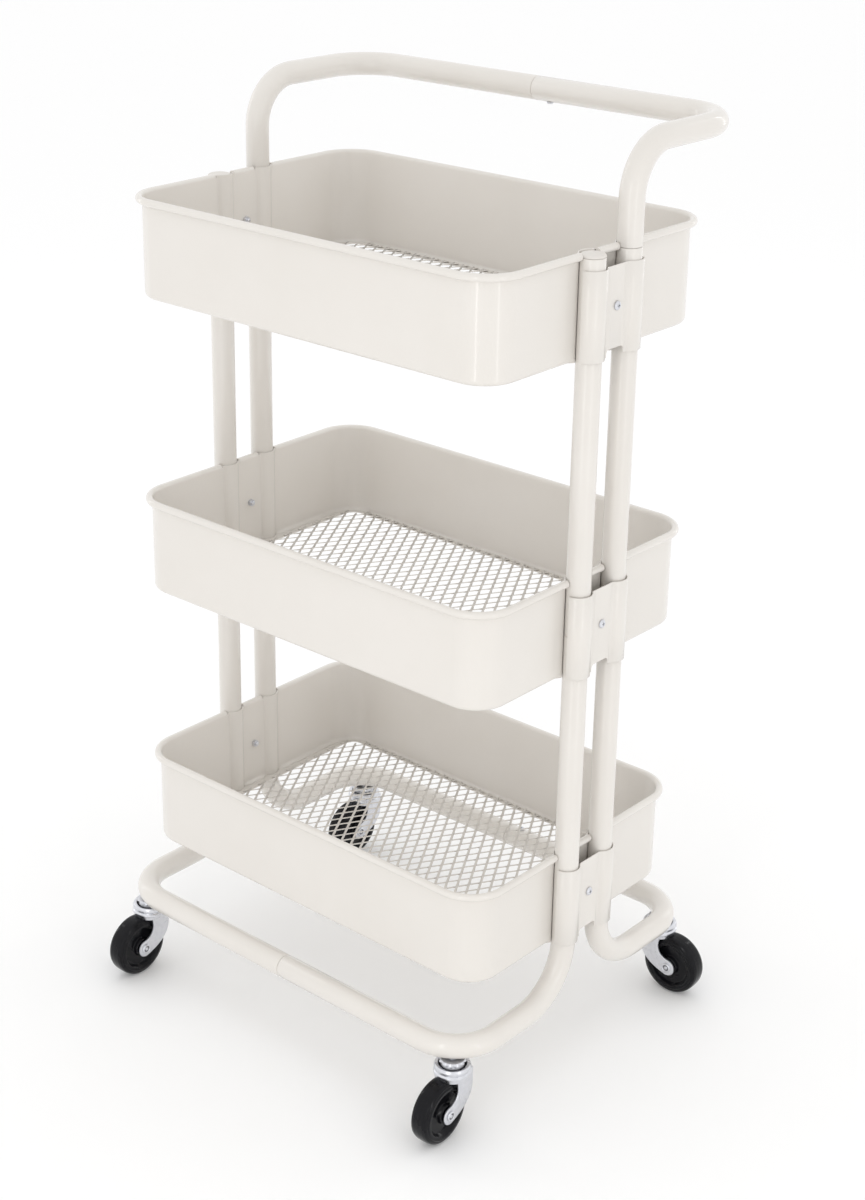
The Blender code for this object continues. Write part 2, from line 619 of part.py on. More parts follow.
def build_casters():
    shared_fork = fork_mesh()
    for (end_name, side_name), heading in CASTER_HEADINGS.items():
        label = f"{end_name}_{side_name}"
        stem = (SIDES[side_name] * STEM_X, ENDS[end_name] * STEM_Y, 0)
        swivel = bpy.data.objects.new(f"swivel_{label}", None)
        cart.objects.link(swivel)
        swivel.location = stem
        swivel.rotation_euler.z = math.radians(heading)
        turned(f"caster_stem_{label}", stem_profile(), 12, ZINC, stem)
        add_object(f"caster_fork_{label}", shared_fork, ZINC, parent=swivel)
        axle = (CASTER_TRAIL, 0, WHEEL_RADIUS)
        flat_down = math.pi / WHEEL_STEPS
        turned(f"caster_axle_{label}", axle_profile(), 10, ZINC, axle, (math.pi / 2, 0, 0), swivel)
        turned(f"wheel_{label}", wheel_profile(), WHEEL_STEPS, BLACK_NYLON, axle,
               (math.pi / 2, flat_down, 0), swivel)


def set_over_origin():
    """Hangs the cart and its cutters from a root that centres the footprint on the origin."""
    bpy.context.view_layer.update()
    graph = bpy.context.evaluated_depsgraph_get()
    low = Vector((math.inf, math.inf))
    high = -low
    for piece in cart.objects:
        if piece.type == "EMPTY":
            continue
        shape = piece.evaluated_get(graph)
        for vertex in shape.to_mesh().vertices:
            spot = shape.matrix_world @ vertex.co
            low = Vector(map(min, low, spot.xy))
            high = Vector(map(max, high, spot.xy))
        shape.to_mesh_clear()
    root = bpy.data.objects.new("cart_root", None)
    middle = (low + high) / 2
    root.location = (-middle.x, -middle.y, 0)
    for piece in (*cart.objects, *cutters.objects):
        if piece.parent is None:
            piece.parent = root
    cart.objects.link(root)


build_baskets()
build_clamps()
build_frame()
build_caps()
build_casters()
set_over_origin()
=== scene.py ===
"""Rolling utility cart: three pressed baskets with mesh floors on a bent tube frame with casters."""
import json
import math

import bmesh
import bpy
from mathutils import Matrix, Vector


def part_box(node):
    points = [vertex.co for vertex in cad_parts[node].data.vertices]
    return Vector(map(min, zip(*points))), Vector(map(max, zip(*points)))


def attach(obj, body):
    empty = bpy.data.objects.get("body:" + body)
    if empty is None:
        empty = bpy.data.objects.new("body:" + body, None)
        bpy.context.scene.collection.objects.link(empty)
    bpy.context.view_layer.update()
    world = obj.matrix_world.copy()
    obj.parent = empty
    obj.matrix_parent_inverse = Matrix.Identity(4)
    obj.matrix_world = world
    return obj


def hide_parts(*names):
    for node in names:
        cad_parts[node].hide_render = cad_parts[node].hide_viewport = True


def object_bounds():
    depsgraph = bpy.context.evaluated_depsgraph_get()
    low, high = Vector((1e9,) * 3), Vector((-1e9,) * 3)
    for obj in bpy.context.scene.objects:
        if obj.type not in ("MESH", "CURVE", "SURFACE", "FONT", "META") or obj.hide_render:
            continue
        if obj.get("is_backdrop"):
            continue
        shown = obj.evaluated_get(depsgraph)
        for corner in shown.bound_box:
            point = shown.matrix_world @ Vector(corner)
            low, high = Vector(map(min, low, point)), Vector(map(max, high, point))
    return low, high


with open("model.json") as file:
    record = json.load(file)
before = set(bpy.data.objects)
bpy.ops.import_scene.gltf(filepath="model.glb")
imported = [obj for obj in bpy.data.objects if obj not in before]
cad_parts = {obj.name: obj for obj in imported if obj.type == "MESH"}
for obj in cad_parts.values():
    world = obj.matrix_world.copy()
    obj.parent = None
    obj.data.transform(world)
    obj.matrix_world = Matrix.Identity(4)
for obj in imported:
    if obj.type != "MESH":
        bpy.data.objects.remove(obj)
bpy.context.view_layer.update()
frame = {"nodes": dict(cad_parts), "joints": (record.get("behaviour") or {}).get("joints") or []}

# ---- Pressed baskets ------------------------------------------------------------------------------
# Each basket is one 1 mm steel sheet drawn into a tray. Its rim is rolled outwards, its floor is
# punched out to a flange, and four half-round channels are pressed into the ends for the uprights.
# It is degreased and powder coated in a satin cream, which leaves a faint orange peel.
floor_low, floor_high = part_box("mesh_floor_top")
MIDDLE = (floor_low + floor_high) / 2
MIDDLE.z = 0
SIDES = {"right": 1, "left": -1}
BASKET_HEIGHT = 0.093
RIMS = {tier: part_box(f"basket_{tier}")[0].z + BASKET_HEIGHT for tier in ("top", "middle", "bottom")}
SHEET = 0.001
RIM_OUT = 0.0058
ROLL = (RIM_OUT + SHEET) / 2
ROLL_TURN = (180, -122)
BASKET_X = 0.215
BASKET_Y = 0.1515
WALL_X = BASKET_X - RIM_OUT
WALL_Y = BASKET_Y - RIM_OUT
WALL_CORNER = 0.0327
BOTTOM_RADIUS = 0.005
END_FLANGE = 0.0130
SIDE_FLANGE = 0.0088
OPENING_X = WALL_X - END_FLANGE
OPENING_Y = WALL_Y - SIDE_FLANGE
OPENING_CORNER = 0.011
GROOVE_WIDTH = 0.0010
GROOVE_DEPTH = 0.0006
UPRIGHT_X = 0.216
UPRIGHT_Y = 0.025
CHANNEL = 0.0114
CHANNEL_DROP = 0.0010
LIP = 0.0022
LIP_FADE = 0.006
ROLL_END = 0.0118
WALL_MARKS = (0.048, 0.066, 0.088)


class Amount:
    """A number on a socket. Python's operators add the Math nodes."""

    def __init__(self, graph, socket):
        self.graph = graph
        self.socket = socket

    def joined(self, operation, first, second):
        return self.graph.node("ShaderNodeMath", {"operation": operation}, {0: first, 1: second})

    def __add__(self, other):
        return self.joined("ADD", self, other)

    def __sub__(self, other):
        return self.joined("SUBTRACT", self, other)

    def __rsub__(self, other):
        return self.joined("SUBTRACT", other, self)

    def __mul__(self, other):
        return self.joined("MULTIPLY", self, other)

    def __gt__(self, other):
        return self.joined("GREATER_THAN", self, other)

    __radd__ = __add__
    __rmul__ = __mul__


class Graph:
    """A node tree that grows one node at a time; each node comes back as one of its outputs."""

    def node(self, kind, settings, sockets, output=0):
        made = self.tree.nodes.new(kind)
        for setting, value in settings.items():
            setattr(made, setting, value)
        for socket, value in sockets.items():
            self.feed(made.inputs[socket], value)
        return Amount(self, made.outputs[output])

    def feed(self, socket, value):
        if isinstance(value, Amount):
            self.tree.links.new(value.socket, socket)
        else:
            socket.default_value = value


class Finish(Graph):
    """A surface finish on one Principled shader, patterned in the cart's own metres."""

    def __init__(self, name, slot, roughness, metallic):
        self.slot = slot
        self.material = bpy.data.materials.new(name)
        self.material.use_nodes = True
        self.tree = self.material.node_tree
        self.shader = self.tree.nodes["Principled BSDF"]
        self.shader.inputs["Roughness"].default_value = roughness
        self.shader.inputs["Metallic"].default_value = metallic
        self.place = self.node("ShaderNodeTexCoord", {}, {}, "Object")

    def noise(self, scale, detail=2.0, rough=0.5, stretch=(1, 1, 1)):
        """Cloudy pattern from 0 to 1 with about this many lumps to a metre."""
        where = self.node("ShaderNodeMapping", {}, {"Vector": self.place, "Scale": stretch})
        sockets = {"Vector": where, "Scale": scale, "Detail": detail, "Roughness": rough}
        return self.node("ShaderNodeTexNoise", {}, sockets, "Fac")

    def blend(self, share, *ends):
        """A colour between two ends, each an RGB triple or another blend."""
        one, other = [end if isinstance(end, Amount) else (*end, 1) for end in ends]
        return self.node("ShaderNodeMix", {"data_type": "RGBA"}, {0: share, 6: one, 7: other}, 2)

    def surface(self, colour, roughness, height, depth):
        """Feeds the shader; height is raised by up to depth metres."""
        self.feed(self.shader.inputs["Base Color"], colour)
        self.feed(self.shader.inputs["Roughness"], roughness)
        bump = self.node("ShaderNodeBump", {}, {"Strength": 1.0, "Distance": depth, "Height": height})
        self.feed(self.shader.inputs["Normal"], bump)


def powder_coat():
    """Satin cream powder: cloudy film thickness, orange peel and fine grain."""
    coat = Finish("cream_powder_coat", "cream_powder_coat", 0.4, 0.0)
    cloud = coat.noise(11.0, detail=3.0)
    peel = coat.noise(520.0)
    grain = coat.noise(2600.0, detail=1.0)
    colour = coat.blend(cloud, (0.730, 0.694, 0.645), (0.780, 0.748, 0.706))
    roughness = 0.27 + cloud * 0.08 + grain * 0.10
    coat.surface(colour, roughness, peel + grain * 0.25, depth=0.00006)
    coat.shader.inputs["Coat Weight"].default_value = 0.7
    coat.shader.inputs["Coat Roughness"].default_value = 0.13
    return coat


def loft(name, rings, around=False, sharp=38):
    """Closed skin over a row of closed rings; around joins the last ring to the first."""
    skin = bmesh.new()
    rows = [[skin.verts.new(point) for point in ring] for ring in rings]
    following = rows[1:] + rows[:1] if around else rows[1:]
    for near, far in zip(rows, following):
        for place, corner in enumerate(near):
            after = (place + 1) % len(near)
            skin.faces.new((corner, near[after], far[after], far[place]))
    if not around:
        skin.faces.new(rows[0])
        skin.faces.new(rows[-1])
    return settle(name, skin, sharp)


def settle(name, skin, sharp):
    """Merged, outward and shaded mesh from a finished skin."""
    bmesh.ops.remove_doubles(skin, verts=skin.verts, dist=1e-7)
    bmesh.ops.dissolve_degenerate(skin, edges=skin.edges, dist=1e-7)
    bmesh.ops.recalc_face_normals(skin, faces=skin.faces)
    mesh = bpy.data.meshes.new(name)
    skin.to_mesh(mesh)
    skin.free()
    mesh.shade_smooth()
    mesh.set_sharp_from_angle(angle=math.radians(sharp))
    return mesh


def fit(mesh, finish, body, *nodes):
    """Puts a finished mesh on the cart in place of its CAD nodes."""
    mesh.materials.clear()
    mesh.materials.append(finish.material)
    piece = bpy.data.objects.new(mesh.name, mesh)
    bpy.context.scene.collection.objects.link(piece)
    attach(piece, body)
    if nodes:
        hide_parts(*nodes)
    return piece


def sweep_angle(start, end, steps):
    """Even steps between two angles in degrees, as radians."""
    return [math.radians(start + (end - start) * step / steps) for step in range(steps + 1)]


def toward(angle):
    """Unit vector in plan at an angle in radians."""
    return Vector((math.cos(angle), math.sin(angle)))


def end_wall():
    """Plan of the right-hand end from front to rear: place, way out, how plain, how rolled, opening."""
    spots = []
    reach = WALL_Y - WALL_CORNER
    lip_x = WALL_X - LIP
    lip_y = math.sqrt((CHANNEL + LIP) ** 2 - (UPRIGHT_X - lip_x) ** 2)
    turn = math.degrees(math.atan2(lip_y, UPRIGHT_X - lip_x))
    beside_channel = (ROLL_END + 0.004, ROLL_END + 0.0015, ROLL_END, ROLL_END - 0.0003, lip_y + 0.0008)

    def wall(y):
        beside = abs(abs(y) - UPRIGHT_Y)
        plain = min(1.0, max(0.0, (beside - lip_y) / LIP_FADE))
        rolled = 1.0 if beside > ROLL_END - 1e-6 else 0.0
        spots.append((Vector((WALL_X, y)), Vector((1, 0)), plain, rolled))

    def channel(centre):
        for gap in beside_channel:
            wall(centre - gap)
        for angle in sweep_angle(0, turn, 6):
            spots.append((Vector((lip_x, centre - lip_y)) + toward(angle) * LIP, toward(angle), 0.0, 0.0))
        for angle in sweep_angle(180 + turn, 180 - turn, 20)[1:-1]:
            hollow = Vector((UPRIGHT_X, centre)) + toward(angle) * CHANNEL
            spots.append((hollow, -toward(angle), 0.0, 0.0))
        for angle in sweep_angle(-turn, 0, 6):
            spots.append((Vector((lip_x, centre + lip_y)) + toward(angle) * LIP, toward(angle), 0.0, 0.0))
        for gap in reversed(beside_channel):
            wall(centre + gap)

    wall(-reach)
    for y in reversed(WALL_MARKS):
        wall(-y)
    channel(-UPRIGHT_Y)
    wall(0.0)
    channel(UPRIGHT_Y)
    for y in WALL_MARKS:
        wall(y)
    return [spot + (Vector((OPENING_X, max(-reach, min(reach, spot[0].y)))),) for spot in spots]


def basket_plan():
    """Whole plan, counter-clockwise; each spot also has its own place on the floor opening."""
    half = end_wall()
    for corner, sign in ((0, 1), (1, -1)):
        centre = Vector((sign * (WALL_X - WALL_CORNER), WALL_Y - WALL_CORNER))
        inner = Vector((sign * (OPENING_X - OPENING_CORNER), OPENING_Y - OPENING_CORNER))
        for angle in sweep_angle(corner * 90, corner * 90 + 90, 16):
            way = toward(angle)
            half.append((centre + way * WALL_CORNER, way, 1.0, 1.0, inner + way * OPENING_CORNER))
        if corner == 0:
            for x in (0.12, 0.06, 0.0, -0.06, -0.12):
                half.append((Vector((x, WALL_Y)), Vector((0, 1)), 1.0, 1.0, Vector((x, OPENING_Y))))
    turned_half = [(-place, -way, plain, rolled, -inner) for place, way, plain, rolled, inner in half]
    return half + turned_half


def basket_ring(spot, rim):
    """Section through the sheet at one spot of the plan, as a closed ring."""
    place, way, plain, rolled, inner = spot
    curl = ROLL - SHEET
    steps = 16
    section = []
    for step, angle in enumerate(sweep_angle(*ROLL_TURN, steps)):
        rise = -ROLL + (ROLL - CHANNEL_DROP) * step / steps
        section.append((rolled * (curl + curl * math.cos(angle)),
                        rolled * (-ROLL + curl * math.sin(angle)) + (1 - rolled) * rise))
    for step, angle in enumerate(sweep_angle(*reversed(ROLL_TURN), steps)):
        fall = -0.8 * CHANNEL_DROP - (ROLL - 0.8 * CHANNEL_DROP) * step / steps
        section.append((rolled * (curl + ROLL * math.cos(angle)) - (1 - rolled) * SHEET,
                        rolled * (-ROLL + ROLL * math.sin(angle)) + (1 - rolled) * fall))
    low = BOTTOM_RADIUS - BASKET_HEIGHT
    bend = BOTTOM_RADIUS - SHEET
    for angle in sweep_angle(0, 90, 6):
        out = plain * (-BOTTOM_RADIUS + bend * math.cos(angle)) - (1 - plain) * SHEET
        section.append((out, low - bend * math.sin(angle)))
    foot_out, foot_height = section[-1]
    for across, sunk in ((0.1, 1), (0.8, 1), (1.0, 0)):
        section.append((foot_out - across * GROOVE_WIDTH, foot_height - sunk * GROOVE_DEPTH))
    points = [place + way * out for out, height in section] + [inner, inner]
    heights = [height for out, height in section] + [SHEET - BASKET_HEIGHT, -BASKET_HEIGHT]
    for angle in sweep_angle(90, 0, 6):
        points.append(place + way * plain * (-BOTTOM_RADIUS + BOTTOM_RADIUS * math.cos(angle)))
        heights.append(low - BOTTOM_RADIUS * math.sin(angle))
    return [MIDDLE + Vector((*point, rim + height)) for point, height in zip(points, heights)]


cream_coat = powder_coat()
plan = basket_plan()
for tier, rim in RIMS.items():
    basket = loft(f"{tier}_basket", [basket_ring(spot, rim) for spot in plan], around=True)
    fit(basket, cream_coat, "cart_frame", f"basket_{tier}")

# ---- Expanded mesh floors -------------------------------------------------------------------------
# The floor is expanded metal: sheet slit in staggered rows and pulled into diamonds, which leaves
# every strand tilted. It is laid on the flange, spot-welded, and coated with the basket.
PITCH_X = 0.0122
PITCH_Y = 0.0209
COLUMNS = 33
ROWS = 13
STRAND = 0.00116
MESH_SHEET = 0.0009
MESH_LIFT = 0.0003
MESH_CORNER = 0.0232
TILT = 0.34
BOND_SPREAD = 1.12
CROTCH_HALF = 0.00032
CROTCH_SIDE = 0.0005
CROTCH_ROOT = 0.00018


class Recipe(Graph):
    """A Geometry Nodes tree with named sizes, baked to a plain mesh."""

    def __init__(self, name, inputs):
        self.tree = bpy.data.node_groups.new(name, "GeometryNodeTree")
        self.tree.interface.new_socket("Geometry", in_out="OUTPUT", socket_type="NodeSocketGeometry")
        for label, kind in inputs.items():
            self.tree.interface.new_socket(label, in_out="INPUT", socket_type=f"NodeSocket{kind}")
        self.given = self.tree.nodes.new("NodeGroupInput")
        self.result = self.tree.nodes.new("NodeGroupOutput")

    def __getitem__(self, label):
        return Amount(self, self.given.outputs[label])

    def finish_with(self, geometry, material):
        solid = self.node("GeometryNodeRealizeInstances", {}, {"Geometry": geometry})
        sockets = {"Geometry": solid, "Material": material}
        self.feed(self.result.inputs[0], self.node("GeometryNodeSetMaterial", {}, sockets))

    def bake(self, name, carrier_mesh, **values):
        carrier = bpy.data.objects.new(name, carrier_mesh)
        bpy.context.scene.collection.objects.link(carrier)
        modifier = carrier.modifiers.new(name, "NODES")
        modifier.node_group = self.tree
        for item in self.tree.interface.items_tree:
            if item.in_out == "INPUT" and item.name in values:
                modifier[item.identifier] = values[item.name]
        bpy.context.view_layer.update()
        depsgraph = bpy.context.evaluated_depsgraph_get()
        mesh = bpy.data.meshes.new_from_object(carrier.evaluated_get(depsgraph))
        bpy.data.objects.remove(carrier)
        mesh.name = name
        return mesh


def knuckle_mesh():
    """One bond of the mesh with its four half strands, each tilted about its own line."""
    reach = Vector((PITCH_X / 4, PITCH_Y / 4))
    slope = reach.x / reach.y
    length = reach.length
    side = Vector((reach.y, -reach.x)) * (STRAND / length)
    crotch = STRAND * length / reach.x
    flank = STRAND * length / reach.y
    quarter = [
        (flank * BOND_SPREAD, 0.0),
        (reach.x + side.x, reach.y + side.y),
        (reach.x - side.x, reach.y - side.y),
        (CROTCH_HALF, crotch + CROTCH_SIDE),
    ]
    outline = [(x, y, x - y * slope) for x, y in quarter] + [(0.0, crotch + CROTCH_ROOT, 0.0)]
    outline += [(-x, y, y * slope - x) for x, y in reversed(quarter[1:])]
    outline += [(-x, -y, -lift) for x, y, lift in outline]
    open_ends = (1, 5, 9, 13)
    skin = bmesh.new()
    levels = []
    for height in (-MESH_SHEET / 2, MESH_SHEET / 2):
        levels.append([skin.verts.new((x, y, height + TILT * lift)) for x, y, lift in outline])
    low, high = levels
    skin.faces.new(reversed(low))
    skin.faces.new(high)
    for place in range(len(low)):
        after = (place + 1) % len(low)
        if place not in open_ends:
            skin.faces.new((low[place], low[after], high[after], high[place]))
    mesh = bpy.data.meshes.new("knuckle")
    skin.to_mesh(mesh)
    skin.free()
    return mesh


def mesh_floor_recipe():
    """Two staggered grids of knuckles, less those outside the basket's round corners."""
    inputs = {"Knuckle": "Object", "Pitch X": "Float", "Pitch Y": "Float", "Columns": "Int", "Rows": "Int",
              "Corner X": "Float", "Corner Y": "Float", "Corner Radius": "Float", "Place": "Vector"}
    recipe = Recipe("expanded_mesh", inputs)
    grids = recipe.node("GeometryNodeJoinGeometry", {}, {})
    for stagger in (0, 1):
        columns = recipe["Columns"] - stagger
        rows = recipe["Rows"] + stagger
        sockets = {"Size X": (columns - 1) * recipe["Pitch X"], "Size Y": (rows - 1) * recipe["Pitch Y"],
                   "Vertices X": columns, "Vertices Y": rows}
        recipe.feed(grids.socket.node.inputs[0], recipe.node("GeometryNodeMeshGrid", {}, sockets))
    spot = recipe.node("GeometryNodeInputPosition", {}, {})
    past = []
    for axis, limit in (("X", "Corner X"), ("Y", "Corner Y")):
        along = recipe.node("ShaderNodeSeparateXYZ", {}, {0: spot}, axis)
        beyond = recipe.node("ShaderNodeMath", {"operation": "ABSOLUTE"}, {0: along}) - recipe[limit]
        past.append(recipe.node("ShaderNodeMath", {"operation": "MAXIMUM"}, {0: beyond, 1: 0.0}))
    radius = recipe["Corner Radius"]
    outside = past[0] * past[0] + past[1] * past[1] > radius * radius
    kept = recipe.node("GeometryNodeDeleteGeometry", {"domain": "POINT"},
                       {"Geometry": grids, "Selection": outside})
    knuckle = recipe.node("GeometryNodeObjectInfo", {}, {"Object": recipe["Knuckle"]}, "Geometry")
    spread = recipe.node("GeometryNodeInstanceOnPoints", {}, {"Points": kept, "Instance": knuckle})
    placed = recipe.node("GeometryNodeTransform", {}, {"Geometry": spread, "Translation": recipe["Place"]})
    recipe.finish_with(placed, cream_coat.material)
    return recipe


knuckle = bpy.data.objects.new("knuckle", knuckle_mesh())
bpy.context.scene.collection.objects.link(knuckle)
floor_recipe = mesh_floor_recipe()
for tier, rim in RIMS.items():
    height = rim - BASKET_HEIGHT + SHEET + MESH_LIFT + MESH_SHEET / 2
    baked = floor_recipe.bake(f"{tier}_mesh_floor", bpy.data.meshes.new("bare"), **{
        "Knuckle": knuckle, "Pitch X": PITCH_X, "Pitch Y": PITCH_Y, "Columns": COLUMNS, "Rows": ROWS,
        "Corner X": WALL_X - WALL_CORNER, "Corner Y": WALL_Y - WALL_CORNER,
        "Corner Radius": MESH_CORNER, "Place": MIDDLE + Vector((0, 0, height))})
    skin = bmesh.new()
    skin.from_mesh(baked)
    bmesh.ops.remove_doubles(skin, verts=skin.verts, dist=2e-5)
    bmesh.ops.holes_fill(skin, edges=skin.edges, sides=4)
    fit(settle(f"{tier}_mesh_floor", skin, 30), cream_coat, "cart_frame", f"mesh_floor_{tier}")
bpy.data.objects.remove(knuckle)

# ---- Upright, base and handle tubes ---------------------------------------------------------------
# All tubes are 22 mm mild steel, 1 mm wall, bent on a former. Each base loop and the handle is two
# halves that butt over an inner sleeve; the cut ends are broken slightly, so every seam shows.
TUBE = 0.011
BASE_HEIGHT = 0.087
BASE_REACH = 0.168
HANDLE_HEIGHT = 0.864
HANDLE_REACH = 0.173
FOOT_BEND = 0.055
CORNER_BEND = 0.045
NECK_BEND = 0.045
SPLIT_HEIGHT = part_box("upright_front_right")[0].z
UPRIGHT_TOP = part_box("upright_front_right")[1].z
SEAM = 0.0004
BROKEN_EDGE = 0.0005


def rounded_path(corners, radii, steps):
    """Corner points with each inner corner turned into an arc."""
    corners = [Vector(corner) for corner in corners]
    points = [corners[0]]
    for before, corner, after, radius in zip(corners, corners[1:], corners[2:], radii):
        arriving = (corner - before).normalized()
        leaving = (after - corner).normalized()
        bend = arriving.angle(leaving)
        if bend < 1e-4 or radius == 0:
            points.append(corner)
            continue
        setback = radius * math.tan(bend / 2)
        start = corner - arriving * setback
        centre = corner + (leaving - arriving).normalized() * (radius / math.cos(bend / 2))
        spoke = start - centre
        across = arriving * radius
        for step in range(steps + 1):
            angle = bend * step / steps
            points.append(centre + spoke * math.cos(angle) + across * math.sin(angle))
    points.append(corners[-1])
    return points


def tube_mesh(name, corners, radii):
    """Tube along a bent line, its ends broken by a small radius."""
    line = rounded_path(corners, radii, 14)
    start = (line[1] - line[0]).normalized()
    end = (line[-1] - line[-2]).normalized()
    soft = BROKEN_EDGE * 0.3
    line = ([line[0], line[0] + start * soft, line[0] + start * BROKEN_EDGE] + line[1:-1]
            + [line[-1] - end * BROKEN_EDGE, line[-1] - end * soft, line[-1]])
    widths = [TUBE - BROKEN_EDGE, TUBE - soft] + [TUBE] * (len(line) - 4) + [TUBE - soft, TUBE - BROKEN_EDGE]
    side = start.orthogonal().normalized()
    rings = []
    ahead = start
    for place, point in enumerate(line):
        before = line[max(0, place - 1)]
        after = line[min(len(line) - 1, place + 1)]
        way = (after - before).normalized()
        side = ahead.rotation_difference(way) @ side
        ahead = way
        up = way.cross(side).normalized()
        ring = []
        for angle in sweep_angle(0, 360, 36)[:-1]:
            ring.append(point + (side * math.cos(angle) + up * math.sin(angle)) * widths[place])
        rings.append(ring)
    return loft(name, rings, sharp=50)


for side_name, side in SIDES.items():
    for end_name, end in (("front", -1), ("rear", 1)):
        foot = MIDDLE + Vector((side * UPRIGHT_X, end * UPRIGHT_Y, 0))
        label = f"{end_name}_{side_name}"
        lower = tube_mesh(f"{label}_lower_tube", (
            foot + Vector((0, 0, SPLIT_HEIGHT - SEAM)),
            foot + Vector((0, 0, BASE_HEIGHT)),
            MIDDLE + Vector((side * UPRIGHT_X, end * BASE_REACH, BASE_HEIGHT)),
            MIDDLE + Vector((side * SEAM / 2, end * BASE_REACH, BASE_HEIGHT)),
        ), (FOOT_BEND, CORNER_BEND))
        fit(lower, cream_coat, "cart_frame", f"lower_tube_{label}")
        ends = (foot + Vector((0, 0, SPLIT_HEIGHT)), foot + Vector((0, 0, UPRIGHT_TOP)))
        fit(tube_mesh(f"{label}_upright", ends, ()), cream_coat, "cart_frame", f"upright_{label}")
    neck = MIDDLE + Vector((side * UPRIGHT_X, UPRIGHT_Y, 0))
    handle = tube_mesh(f"{side_name}_handle_half", (
        neck + Vector((0, 0, UPRIGHT_TOP + SEAM)),
        neck + Vector((0, 0, HANDLE_HEIGHT)),
        MIDDLE + Vector((side * UPRIGHT_X, HANDLE_REACH, HANDLE_HEIGHT)),
        MIDDLE + Vector((side * SEAM / 2, HANDLE_REACH, HANDLE_HEIGHT)),
    ), (NECK_BEND, CORNER_BEND))
    fit(handle, cream_coat, "cart_frame", f"handle_{side_name}")


# ---- Zinc-plated sleeves --------------------------------------------------------------------------
# Short lengths of smaller tube, zinc plated, that bridge each seam inside the two tube ends. They
# show only as a glint in the seams.
def zinc_plate():
    """Bright zinc: a faint spangle in the brightness, soft brushed streaks, a bluish cast, and near black
    where vertices are marked for grease and painted shade.
    """
    plate = Finish("bright_zinc", "zinc_plate", 0.28, 1.0)
    spangle = plate.noise(260.0, detail=3.0, rough=0.6)
    haze = plate.noise(70.0)
    streak = plate.noise(900.0, stretch=(1, 1, 0.15))
    # The attribute read here marks vertices painted near black: grease in the ball races and painted shade
    # in recesses and between parts.
    grime = plate.node("ShaderNodeAttribute", {"attribute_name": "grime"}, {}, "Fac")
    clean = plate.blend(spangle, (0.60, 0.61, 0.645), (0.80, 0.81, 0.85))
    colour = plate.blend(grime, clean, (0.05, 0.05, 0.055))
    roughness = 0.20 + haze * 0.10 + spangle * 0.08 + grime * 0.25
    plate.surface(colour, roughness, streak + spangle * 0.6, depth=0.00003)
    return plate


bright_zinc = zinc_plate()
for node in ("handle_sleeve", "front_bar_sleeve", "rear_bar_sleeve",
             "handle_spigot_left", "handle_spigot_right"):
    sleeve = frame["nodes"][node]
    sleeve.data.materials.clear()
    sleeve.data.materials.append(bright_zinc.material)

# ---- Clamp plates ---------------------------------------------------------------------------------
# One plate to each end of each basket: 1.2 mm sheet pressed round the outer half of both uprights,
# with a flat web between them that one screw pulls to the basket. The web's foot is notched.
CLAMP_SHEET = 0.0012
CLAMP_EDGE = 0.0003
CLAMP_DROP = 0.014
CLAMP_HEIGHT = 0.077
CLAMP_SLACK = 0.0009
CLAMP_INNER = TUBE + CLAMP_SLACK
WEB_STEP = 0.0053
WEB_X = UPRIGHT_X + CLAMP_INNER - WEB_STEP
WEB_FILLET = 0.0058
NOTCH_HALF = 0.0118
NOTCH_DEPTH = 0.0065
NOTCH_CORNER = 0.0038


def clamp_line():
    """Inner face of the plate in plan from front to rear: place and way out."""
    rise = math.sqrt((CLAMP_INNER + WEB_FILLET) ** 2 - (WEB_X + WEB_FILLET - UPRIGHT_X) ** 2)
    turn = math.degrees(math.atan2(rise, WEB_X + WEB_FILLET - UPRIGHT_X))
    rear = []
    notch_flat = NOTCH_HALF - NOTCH_CORNER
    notch_turn = [notch_flat + NOTCH_CORNER * math.cos(angle) for angle in sweep_angle(90, 0, 6)[1:]]
    for y in (0.0, notch_flat / 2, notch_flat, *notch_turn, NOTCH_HALF + 0.00005):
        rear.append((Vector((WEB_X, y)), Vector((1, 0))))
    fillet = Vector((WEB_X + WEB_FILLET, UPRIGHT_Y - rise))
    for angle in sweep_angle(180, 180 - turn, 6):
        rear.append((fillet + toward(angle) * WEB_FILLET, -toward(angle)))
    for angle in sweep_angle(-turn, 90, 20)[1:]:
        rear.append((Vector((UPRIGHT_X, UPRIGHT_Y)) + toward(angle) * CLAMP_INNER, toward(angle)))
    front = [(Vector((place.x, -place.y)), Vector((way.x, -way.y))) for place, way in reversed(rear[1:])]
    return front + rear


def clamp_ring(place, way, top):
    """Section through the plate at one place of its plan."""
    foot = top - CLAMP_HEIGHT
    beside = abs(place.y)
    if beside <= NOTCH_HALF:
        arch = max(0.0, beside - (NOTCH_HALF - NOTCH_CORNER))
        foot += NOTCH_DEPTH - NOTCH_CORNER + math.sqrt(max(0.0, NOTCH_CORNER ** 2 - arch ** 2))
    inside = [(CLAMP_EDGE, top), (0, top - CLAMP_EDGE), (0, foot + CLAMP_EDGE), (CLAMP_EDGE, foot)]
    section = inside + [(CLAMP_SHEET - out, height) for out, height in reversed(inside)]
    return [(*(place + way * out), height) for out, height in section]


for tier, rim in RIMS.items():
    for side_name, side in SIDES.items():
        rings = []
        for place, way in clamp_line():
            ring = clamp_ring(place, way, rim - CLAMP_DROP)
            rings.append([MIDDLE + Vector((side * x, y, z)) for x, y, z in ring])
        clamp = loft(f"{tier}_{side_name}_clamp", rings, sharp=45)
        fit(clamp, cream_coat, "cart_frame", f"clamp_{tier}_{side_name}")


# ---- Clamp screws, nuts and seam screws -----------------------------------------------------------
# M4 pan-head screws with a cross recess go through web and basket into hex nuts inside. Three
# smaller ones sit beside the seams of the handle and the base bars. All are bright zinc.
SCREW_DROP = 0.0485
SCREW_END = 0.0021
SEAM_HEAD = 0.0018


